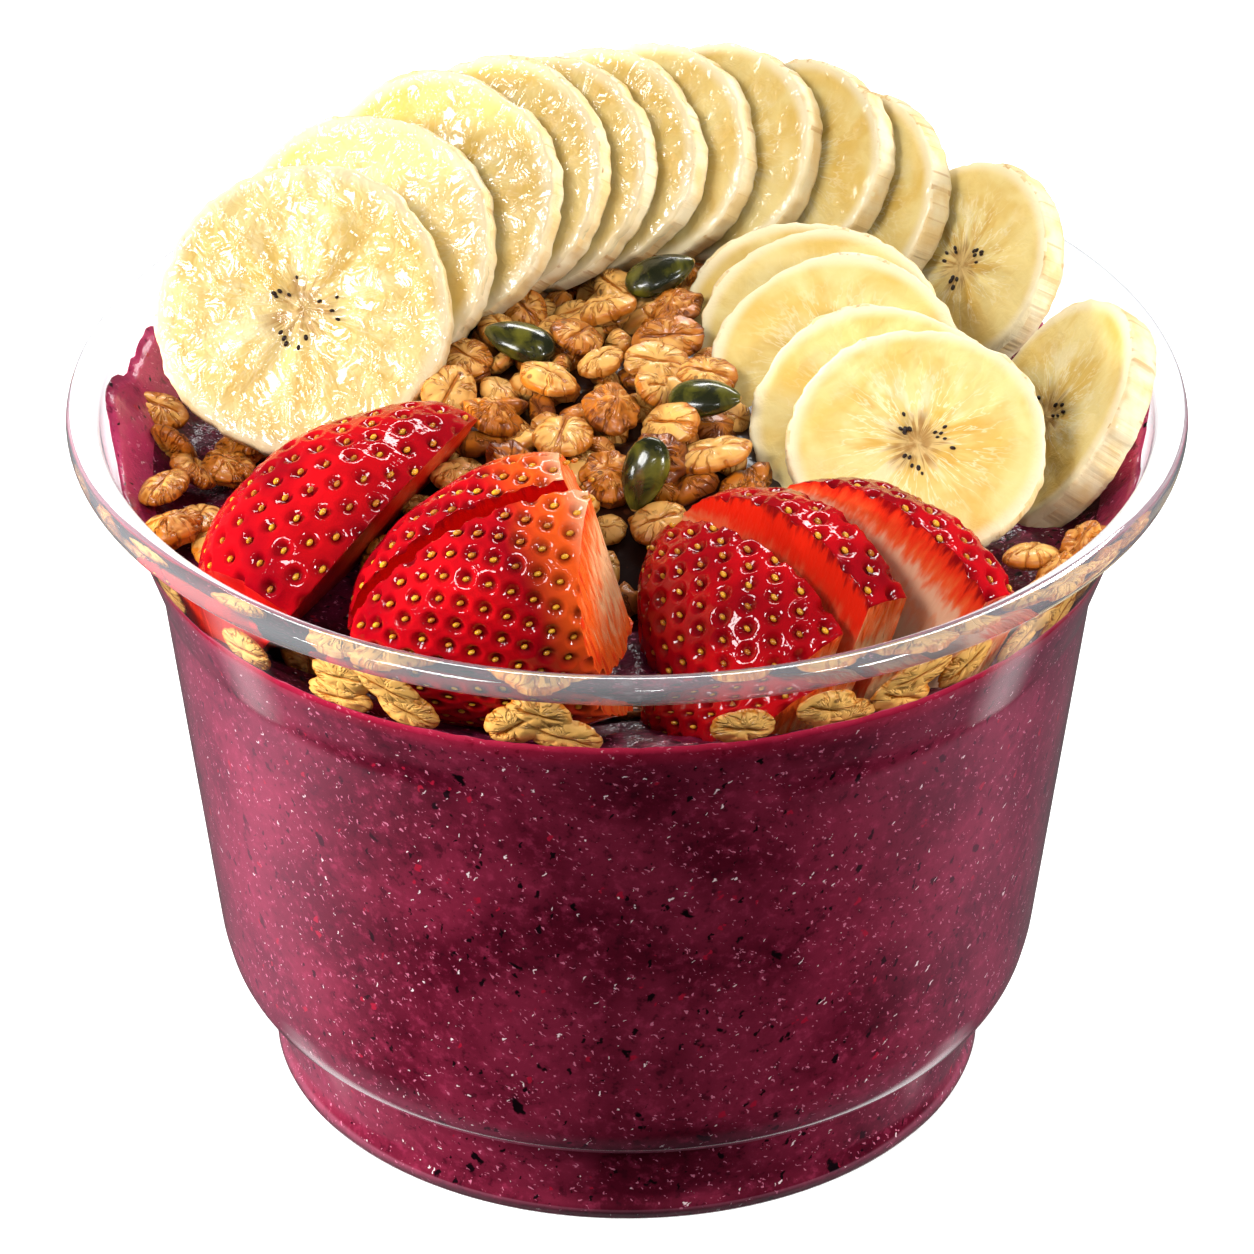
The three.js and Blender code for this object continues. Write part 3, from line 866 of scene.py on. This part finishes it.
def cut_berry(bm, point, normal, index):
    """Cuts a berry at a plane and fills the cut with the material of an index."""
    bmesh.ops.bisect_plane(
        bm,
        geom=bm.verts[:] + bm.edges[:] + bm.faces[:],
        dist=1e-7,
        plane_co=point,
        plane_no=normal,
        clear_outer=True,
    )
    open_edges = [edge for edge in bm.edges if edge.is_boundary]
    filled = bmesh.ops.holes_fill(bm, edges=open_edges, sides=0)["faces"]
    for face in filled:
        face.material_index = index


def build_berry(number, piece, materials, template, crown_way):
    tip, axis, face, length, width, low, high, crown = piece
    near_tip = [share * 0.1 for share in (1 - np.cos(np.linspace(0, math.pi / 2, 12)))]
    rest = list(np.linspace(0.1, crown, 78))[1:]
    outline = [(berry_radius(s) * width / 2, s * length) for s in near_tip + rest]
    bm = spin_outline(outline, 180)
    turn_up = Matrix.Rotation(math.pi / 2, 4, "Y")
    bmesh.ops.transform(bm, matrix=turn_up, verts=bm.verts)
    seeds = achene_places(length, width)
    tree = KDTree(len(seeds))
    for index, spot in enumerate(seeds):
        tree.insert(spot, index)
    tree.balance()
    pit = bm.verts.layers.float.new("pit")
    bm.normal_update()
    for vert in bm.verts:
        here = vert.co / MM
        distance = tree.find(here)[2]
        hollow = math.exp(-((distance / 0.78) ** 3))
        ring = math.exp(-(((distance - 1.1) / 0.3) ** 2))
        lumps = noise.noise(here * 0.16 + Vector((number * 5, 0, 0)))
        vert.co += vert.normal * (0.5 * lumps - 0.62 * hollow + 0.13 * ring - 0.2) * MM
        vert[pit] = hollow
    end = crown * length * MM
    cut_berry(bm, Vector((end - 0.01 * MM, 0, 0)), Vector(crown_way).normalized(), 2)
    cut_berry(bm, Vector((0, 0, high * MM)), Vector((0, 0, 1)), 1)
    if low > -width / 2:
        cut_berry(bm, Vector((0, 0, low * MM)), Vector((0, 0, -1)), 1)
    places = nutlet_matrices(seeds, low, high, crown * length, crown_way)
    bm.from_mesh(copies_of(template, places))
    along = bm.loops.layers.uv.new("along")
    across = bm.loops.layers.uv.new("across")
    half = width / 2 * MM
    for bface in bm.faces:
        for loop in bface.loops:
            x, y, z = loop.vert.co
            loop[along].uv = (x / (length * MM), y / half)
            loop[across].uv = (y / half, z / half)
    bmesh.ops.transform(bm, matrix=berry_matrix(tip, axis, face), verts=bm.verts)
    node = f"strawberry_{number}"
    piece = make_piece(node + "_fruit", bm, materials, [node])
    for polygon in piece.data.polygons:
        if polygon.material_index in (1, 2):
            polygon.use_smooth = False
    return piece


def nutlet_matrices(seeds, low, high, crown, crown_way):
    """Where a nutlet lies in each pit that the cuts leave, pointing to the tip."""
    places = []
    for index, spot in enumerate(seeds):
        beyond = (spot - Vector((crown, 0, 0))).dot(Vector(crown_way))
        if not low + 0.3 < spot.z < high - 0.3 or beyond > -0.6 or spot.x < 0.6:
            continue
        outward = Vector((0, spot.y, spot.z)).normalized()
        lean = Vector((-0.35, 0, 0)) if spot.x < crown * 0.4 else Vector((0.1, 0, 0))
        outward = (outward + lean).normalized()
        side = outward.cross(Vector((1, 0, 0))).normalized()
        ahead = side.cross(outward)
        turn = Matrix((ahead, side, outward)).transposed().to_4x4()
        size = 1 + 0.2 * math.sin(index * 2.4)
        place = Matrix.Translation((spot - outward * 0.55) * MM)
        places.append(place @ turn @ Matrix.Diagonal((size, size, 1, 1)))
    return places


def build_berries():
    """Berry 1 is ripe all through; 2 and 3 are cut from a berry that is pale at the crown."""
    ripe = berry_skin("ripe_berry_skin", 1.3, 1.5)
    pale = berry_skin("pale_berry_skin", 0.66, 0.84)
    red = berry_flesh("red_berry_flesh", 0xD8140A, 0xE83018, 0xCC0C06, 0.1)
    light = berry_flesh("light_berry_flesh", 0xFF7E40, 0xFFD2AE, 0xFF3418, 0.3)
    bright = berry_flesh("bright_berry_flesh", 0xFF5A28, 0xFFB080, 0xFF2C14, 0.12)
    core, nutlet = berry_core(), achene()
    template = small_ball("nutlet", 8, 5, (0.47, 0.31, 0.28), 3)
    skins = (ripe, pale, pale, ripe, ripe, ripe)
    fleshes = (red, red, red, bright, bright, light)
    crown_ways = ((1, 0, 0), (1, 0, 0.3), (1, 0, -0.45), (1, 0, 0), (1, 0, 0), (1, 0, 0))
    for number, piece in enumerate(BERRY_PIECES, start=1):
        finishes = [skins[number - 1], fleshes[number - 1], core, nutlet]
        if number == 1:
            finishes[2] = red
        build_berry(number, piece, finishes, template, crown_ways[number - 1])


# Granola and pumpkin seeds

def toasted_oats():
    """Rolled oats baked with honey: pale lobes, edges browned by toasting, shade painted brown into
    the creases and the groove, and a sticky gloss.
    """
    material, tree, shader = new_material(
        "toasted_oats", {"Roughness": 0.42, "IOR": 1.42, "Coat Weight": 0.5, "Coat Roughness": 0.15}
    )
    at = object_coordinates(tree)
    toast_and_shade = point_value(tree, "toast_and_shade")
    roast_and_painted_light = point_value(tree, "roast_and_painted_light")
    spot = point_value(tree, "flake", "Vector")
    inputs = {0: spot, 1: (1.0, 1.0, 0.0)}
    flat = add_node(tree, "VectorMath", inputs, operation="MULTIPLY").outputs[0]
    reach, around = reach_and_way(tree, flat)
    apart = add_node(tree, "CombineXYZ", {"X": multiply(tree, roast_and_painted_light, 37.0)})
    rays = polar_noise(tree, around, reach, apart.outputs[0], 1.1, 0.7)
    fold = calculate(tree, "ABSOLUTE", calculate(tree, "SUBTRACT", rays, 0.5))
    fold = multiply(tree, ramp_between(tree, fold, 0.05, 0.0), ramp_between(tree, reach, 0.15, 0.4))
    beside = calculate(tree, "ABSOLUTE", axis_of(tree, spot, "Y"))
    groove = multiply(
        tree, ramp_between(tree, beside, 0.08, 0.02), ramp_between(tree, reach, 0.8, 0.65)
    )
    inside = ramp_between(tree, reach, 0.0, 0.05)
    fold = multiply(tree, calculate(tree, "MAXIMUM", fold, groove), inside)
    patches = grain(tree, at, 2.2, detail=4)
    brown = calculate(tree, "ADD", toast_and_shade, multiply(tree, patches, 0.3))
    # Painted shade: the folds and the groove are browned as shade in the creases.
    brown = calculate(tree, "MULTIPLY_ADD", fold, 0.26, brown)
    brown = calculate(tree, "ADD", brown, multiply(tree, roast_and_painted_light, 0.7))
    colour = ramp_colours(tree, brown, 0.22, 0.7, 0xF8BA62, 0xC87016)
    colour = ramp_colours(tree, brown, 0.7, 1.2, colour, 0x7E3A08)
    # The near-black step paints shade: only the heap's core, seen in the gaps between flakes, gets
    # this dark.
    colour = ramp_colours(tree, brown, 1.5, 2.0, colour, 0x2E1004)
    specks = speck_mask(tree, at, 1.1, 0.1)
    colour = blend_colours(tree, specks, colour, 0x5A2C12, 0.7)
    fine = grain(tree, at, 0.6, detail=4)
    pressed = calculate(tree, "MULTIPLY_ADD", fold, -2.5, fine)
    dress(tree, shader, colour, pressed, 0.16, 0.7, ("Normal", "Coat Normal"))
    return material


def pumpkin_coat():
    """Hulled pumpkin seeds: dark olive skin, wrinkled, with a waxy shine and tan tips."""
    material, tree, shader = new_material(
        "pumpkin_coat", {"Roughness": 0.25, "IOR": 1.45, "Coat Weight": 0.6, "Coat Roughness": 0.08}
    )
    at = object_coordinates(tree)
    patches = grain(tree, at, 1.8, detail=4, distortion=0.5)
    colour = ramp_colours(tree, patches, 0.4, 0.68, 0x1E200A, 0x66621A)
    tip = point_value(tree, "tip")
    colour = blend_colours(tree, tip, colour, 0xB98D4A)
    dress(tree, shader, colour, patches, 0.25, 0.6)
    return material


def flake_template(kind, segments, rings):
    """One oat flake or cluster, 1 across; gives its mesh, and how toasted each point is, with
    shade painted into the creases, and where on the flake each point is.
    Kinds 0 to 3 are rolled flakes, lobed round a groove, and 4 and 5 are clusters."""
    bm = bmesh.new()
    bmesh.ops.create_uvsphere(bm, u_segments=segments, v_segments=rings, radius=1.0)
    toast_and_shade_values = []
    for vert in bm.verts:
        x, y, z = vert.co
        reach = min(1.0, math.hypot(x, y))
        angle = math.atan2(y, x)
        spot = vert.co + Vector((kind * 7.3, 0, 0))
        lumps = noise.noise(spot * 1.6)
        folds = abs(noise.noise(spot * 2.6))
        lobes = (6, 7, 5, 7, 4, 5)[kind]
        wave = abs(math.sin(lobes * angle / 2 + kind + 0.9 * noise.noise(spot * 1.2)))
        crease = math.exp(-((wave / 0.26) ** 2)) * min(1, reach * 2)
        if kind < 4:
            groove = math.exp(-(((y + 0.12 * lumps) / 0.08) ** 2)) * (reach < 0.8)
            crease = max(0.6 * crease * (reach > 0.25), groove)
            pillow = math.sin(min(1.0, reach * 1.15) * math.pi) * (1 - crease)
            flat = 0.62 + 0.3 * pillow - 0.1 * crease + 0.12 * lumps
            out = 1 - 0.1 * crease * reach + 0.08 * lumps
            power = 0.6
        else:
            crease = math.exp(-((folds / 0.09) ** 2))
            flat = 1.2 - 0.3 * crease + 0.6 * lumps
            out = 0.95 - 0.16 * crease + 0.3 * lumps
            power = 1.0
        puff = math.copysign(abs(z) ** power, z)
        vert.co = Vector((x * out, y * out, puff * flat))
        fine = 0.25 * noise.noise(spot * 5)
        # Toasting browns the edges, and shade is painted into the creases.
        toast_and_shade = 0.35 * crease + 0.4 * reach**6 + 0.2 * lumps + fine
        toast_and_shade_values.append((toast_and_shade, Vector((x, y, z))))
    return mesh_from(bm, "flake_template"), toast_and_shade_values


def heap_height(x, y):
    """Height of the bare heap above a point, in millimetres."""
    away = (Vector((x, y)) - HEAP_CENTRE).length / HEAP_RADIUS
    rise = max(0.0, 1 - away**2.6)
    return HEAP_FLOOR + (HEAP_TOP - HEAP_FLOOR) * rise**0.8


def fruit_trees():
    """Search trees of every solid that granola must stay clear of."""
    trees = []
    for name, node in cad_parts.items():
        if name.startswith(("banana", "strawberry", "pumpkin")):
            mesh = node.data
            points = [vert.co for vert in mesh.vertices]
            faces = [tuple(polygon.vertices) for polygon in mesh.polygons]
            trees.append(BVHTree.FromPolygons(points, faces))
    return trees


def room_at(trees, point):
    """Distance from a point in metres to the nearest fruit, below zero inside it."""
    room = 1.0
    for tree in trees:
        nearest, normal, _, distance = tree.find_nearest(point)
        if (point - nearest).dot(normal) < 0:
            distance = -distance
        room = min(room, distance)
    return room


class FlakePile:
    """Joins many placed flakes into one mesh, each with its own browning and painted shade."""

    def __init__(self, segments, rings):
        self.templates = [flake_template(kind, segments, rings) for kind in range(6)]
        self.bm = bmesh.new()
        self.toast_and_shade = self.bm.verts.layers.float.new("toast_and_shade")
        self.roast_and_painted_light = self.bm.verts.layers.float.new("roast_and_painted_light")
        self.flake = self.bm.verts.layers.float_vector.new("flake")

    def add(self, kind, matrix, roast_and_painted_light):
        mesh, toast_and_shade_values = self.templates[kind]
        before = len(self.bm.verts)
        self.bm.from_mesh(mesh)
        self.bm.verts.ensure_lookup_table()
        new = self.bm.verts[before:]
        bmesh.ops.transform(self.bm, matrix=matrix, verts=new)
        for vert, (value, spot) in zip(new, toast_and_shade_values):
            vert[self.toast_and_shade] = value
            vert[self.roast_and_painted_light] = roast_and_painted_light
            vert[self.flake] = spot


def flake_matrix(x, y, z, size, turns, lean=0.0):
    scale = Matrix.Diagonal((size[0], size[1], size[2], 1 / MM)) * MM
    turn = Matrix.Rotation(turns[2], 4, "Z") @ Matrix.Rotation(turns[1], 4, "Y")
    turn = turn @ Matrix.Rotation(turns[0], 4, "X")
    return Matrix.Translation(Vector((x, y, z)) * MM) @ Matrix.Rotation(lean, 4, "X") @ turn @ scale


def scatter_heap(pile, trees, spacing, lift, sizes, tilt, seed):
    """Spreads flakes over the heap with a least spacing, clear of the fruit."""
    draw = random.Random(seed)
    placed = []
    for _ in range(5000):
        angle = draw.uniform(0, FULL_TURN)
        away = HEAP_RADIUS * math.sqrt(draw.random()) * 1.02
        x = HEAP_CENTRE.x + away * math.cos(angle)
        y = HEAP_CENTRE.y + away * math.sin(angle)
        size = draw.choice(sizes)
        size = [value * draw.uniform(0.85, 1.12) for value in size]
        turns = (draw.gauss(0, tilt), draw.gauss(0, tilt), draw.uniform(0, FULL_TURN))
        if any((x - px) ** 2 + (y - py) ** 2 < spacing**2 for px, py in placed):
            continue
        z = heap_height(x, y) + lift
        if room_at(trees, Vector((x, y, z)) * MM) < size[0] * 0.55 * MM:
            continue
        placed.append((x, y))
        kind = draw.randrange(6)
        roast_and_painted_light = max(0.0, draw.gauss(0.0, 0.3)) + (0.5 if kind > 3 else 0)
        pile.add(kind, flake_matrix(x, y, z, size, turns, 0.35), roast_and_painted_light)


def build_granola():
    trees = fruit_trees()
    oats = toasted_oats()
    radii = np.linspace(0, HEAP_RADIUS, 40)
    outline = [(0.0, HEAP_FLOOR)] + [
        (radius, heap_height(HEAP_CENTRE.x + radius, HEAP_CENTRE.y)) for radius in radii[::-1]
    ]
    core = spin_outline(outline, 96)
    for vert in core.verts:
        if vert.co.z > (HEAP_FLOOR + 0.2) * MM:
            vert.co.z += 0.8 * noise.noise(vert.co / MM * 0.45) * MM - 1.0 * MM
    shift = Matrix.Translation((HEAP_CENTRE.x * MM, HEAP_CENTRE.y * MM, 0))
    bmesh.ops.transform(core, matrix=shift, verts=core.verts)
    # Painted shade: the core is coloured near black brown, for the shade in the gaps between the
    # flakes.
    toast_and_shade = core.verts.layers.float.new("toast_and_shade")
    roast_and_painted_light = core.verts.layers.float.new("roast_and_painted_light")
    for vert in core.verts:
        vert[toast_and_shade] = 0.9
        vert[roast_and_painted_light] = 2.0
    make_piece("granola_core", core, [oats], ["granola"])
    under = FlakePile(10, 6)
    small = [(2.6, 2.1, 1.3), (3.0, 2.4, 1.3), (2.2, 1.8, 1.4)]
    scatter_heap(under, trees, 3.1, -0.2, small, 0.55, 3)
    make_piece("granola_under", under.bm, [oats], [])
    over = FlakePile(36, 20)
    large = [(3.9, 3.1, 1.3), (3.5, 2.8, 1.3), (3.2, 2.3, 1.5)]
    scatter_heap(over, trees, 5.4, 1.7, large, 0.32, 8)
    add_loose_flakes(over)
    make_piece("granola_flakes", over.bm, [oats], [])


def add_loose_flakes(pile):
    draw = random.Random(4)
    for angle, height in WALL_FLAKES:
        size = (draw.uniform(3.3, 4), draw.uniform(2.4, 3), draw.uniform(1.2, 1.5))
        radius = wall_radius(height) - SHEET - size[2] - 0.4
        turn = math.radians(angle)
        stand = Matrix.Rotation(turn, 4, "Z") @ Matrix.Rotation(math.radians(106), 4, "Y")
        stand = stand @ Matrix.Rotation(math.pi / 2 + draw.gauss(0, 0.4), 4, "Z")
        scale = Matrix.Diagonal((size[0] * MM, size[1] * MM, size[2] * MM, 1))
        at = Vector((radius * math.cos(turn), radius * math.sin(turn), height)) * MM
        # Painted light: the flakes against the wall get a negative roast, which paints them paler,
        # as light on them would make them.
        pale = -0.12 + 0.06 * math.sin(angle)
        pile.add(draw.choice((0, 1, 2, 3)), Matrix.Translation(at) @ stand @ scale, pale)
    for x, y, z in LOOSE_FLAKES:
        size = (draw.uniform(3.2, 3.9), draw.uniform(2.4, 3), draw.uniform(1.2, 1.5))
        turns = (draw.gauss(0, 0.3), draw.gauss(0, 0.3), draw.uniform(0, FULL_TURN))
        pile.add(draw.randrange(6), flake_matrix(x, y, z, size, turns), draw.random() * 0.5)


def build_pumpkin_seeds():
    coat = pumpkin_coat()
    for number in range(1, 5):
        node = f"pumpkin_seed_{number}"
        points = node_points(node)
        centre = (points.max(axis=0) + points.min(axis=0)) / 2
        axes = np.linalg.svd(points - points.mean(axis=0), full_matrices=False)[2]
        turn = Matrix([Vector(axis) for axis in axes]).transposed().to_4x4()
        bm = bmesh.new()
        bmesh.ops.create_uvsphere(bm, u_segments=48, v_segments=28, radius=1.0)
        bmesh.ops.transform(bm, matrix=Matrix.Rotation(math.pi / 2, 4, "Y"), verts=bm.verts)
        tip = bm.verts.layers.float.new("tip")
        for vert in bm.verts:
            x, y, z = vert.co
            vert[tip] = 1.0 if x > 0.955 else 0.0
            taper = (1 - 0.2 * x) * (1 - 0.25 * max(0, x) ** 3)
            ridge = 1 + 0.05 * noise.noise(Vector((x, y * 3, z * 3 + number * 3)) * 2)
            vert.co = Vector((x * 4.0, y * 2.35 * taper * ridge, z * 1.3 * taper * ridge)) * MM
        lean = Matrix.Rotation(0.4, 4, "X")
        place = Matrix.Translation(Vector(centre)) @ lean @ turn
        bmesh.ops.transform(bm, matrix=place, verts=bm.verts)
        bmesh.ops.recalc_face_normals(bm, faces=bm.faces)
        make_piece(node + "_kernel", bm, [coat], [node])


# Floor, lights and camera

def build_floor():
    """A white table lit from below, as for cut-out pictures. The cup doesn't mirror it, and
    it throws no light back, so the white panels alone light the wall."""
    material, _, _ = new_material(
        "opal_acrylic",
        {
            "Base Color": linear(0xF4F4F4),
            "Roughness": 0.6,
            "Emission Color": (1, 1, 1, 1),
            "Emission Strength": 0.6,
        },
    )
    bm = bmesh.new()
    bmesh.ops.create_grid(bm, x_segments=1, y_segments=1, size=3.0)
    mesh = mesh_from(bm, "floor")
    mesh.materials.append(material)
    floor = new_object("floor", mesh)
    floor.location.z = -0.05 * MM
    floor.visible_glossy = False
    floor.visible_diffuse = False


def aim(item, target):
    """Turns a lamp or camera at a point."""
    way = Vector(target) - item.location
    item.rotation_euler = way.to_track_quat("-Z", "Y").to_euler()


def add_softbox(name, place, width, height, power, mirrored):
    lamp = bpy.data.lights.new(name, "AREA")
    lamp.shape = "RECTANGLE"
    lamp.size = width
    lamp.size_y = height
    lamp.energy = power
    item = new_object(name, lamp)
    item.location = place
    item.visible_glossy = mirrored
    aim(item, LAMP_TARGET)


def build_world():
    """Soft light from above, and from a white panel low at the left. What shines mirrors
    far less of it, as the crisp glints of the photograph come from small lamps."""
    world = bpy.data.worlds.new("studio")
    bpy.context.scene.world = world
    world.use_nodes = True
    tree = world.node_tree
    way = add_node(tree, "SeparateXYZ", {0: add_node(tree, "TexCoord").outputs["Generated"]})
    left = ramp_between(tree, way.outputs["X"], 0.15, -0.45)
    behind = ramp_between(tree, way.outputs["Y"], -0.55, 0.35)
    far = ramp_between(tree, way.outputs["Y"], 0.5, 0.8)
    panel = calculate(tree, "MULTIPLY_ADD", left, 1.2, 0.3)
    panel = multiply(tree, panel, behind)
    panel = calculate(tree, "MAXIMUM", panel, multiply(tree, far, 0.8))
    under = ramp_between(tree, way.outputs["Z"], -0.95, -0.75)
    below = multiply(tree, panel, under)
    above = ramp_between(tree, way.outputs["Z"], -0.05, 0.3)
    level = blend_values(tree, above, below, 0.3)
    low = ramp_between(tree, way.outputs["Z"], -0.68, -0.76)
    low = multiply(tree, low, ramp_between(tree, way.outputs["Y"], 0.3, 0.5))
    dim = calculate(tree, "MULTIPLY_ADD", low, 1.5, multiply(tree, far, 0.1))
    mirrored = blend_values(tree, above, dim, 0.06)
    glossy = add_node(tree, "LightPath").outputs["Is Glossy Ray"]
    level = blend_values(tree, glossy, level, mirrored)
    background = tree.nodes["Background"]
    tree.links.new(level, background.inputs["Strength"])
    background.inputs["Color"].default_value = (1, 1, 1, 1)


def build_lights():
    build_world()
    for lamp in LAMPS:
        add_softbox(*lamp)
    light_paths = bpy.context.scene.cycles
    light_paths.max_bounces = 7
    light_paths.diffuse_bounces = 1
    light_paths.glossy_bounces = 2
    light_paths.light_sampling_threshold = 0.04


def build_camera():
    """The photograph's long lens, at its fitted height and distance."""
    elevation = math.radians(CAMERA_ELEVATION)
    target = Vector(CAMERA_TARGET)
    camera = bpy.data.cameras.new("camera")
    camera.sensor_width = SENSOR_MM
    camera.lens = FOCAL_PIXELS / PICTURE_PIXELS * SENSOR_MM
    item = new_object("camera", camera)
    back = Vector((0, -math.cos(elevation), math.sin(elevation)))
    item.location = target + back * CAMERA_DISTANCE
    aim(item, target)
    bpy.context.scene.camera = item


build_cup()
build_acai()
build_bananas()
build_berries()
build_granola()
build_pumpkin_seeds()
build_floor()
build_lights()
build_camera()
bpy.context.scene.view_settings.view_transform = "Standard"
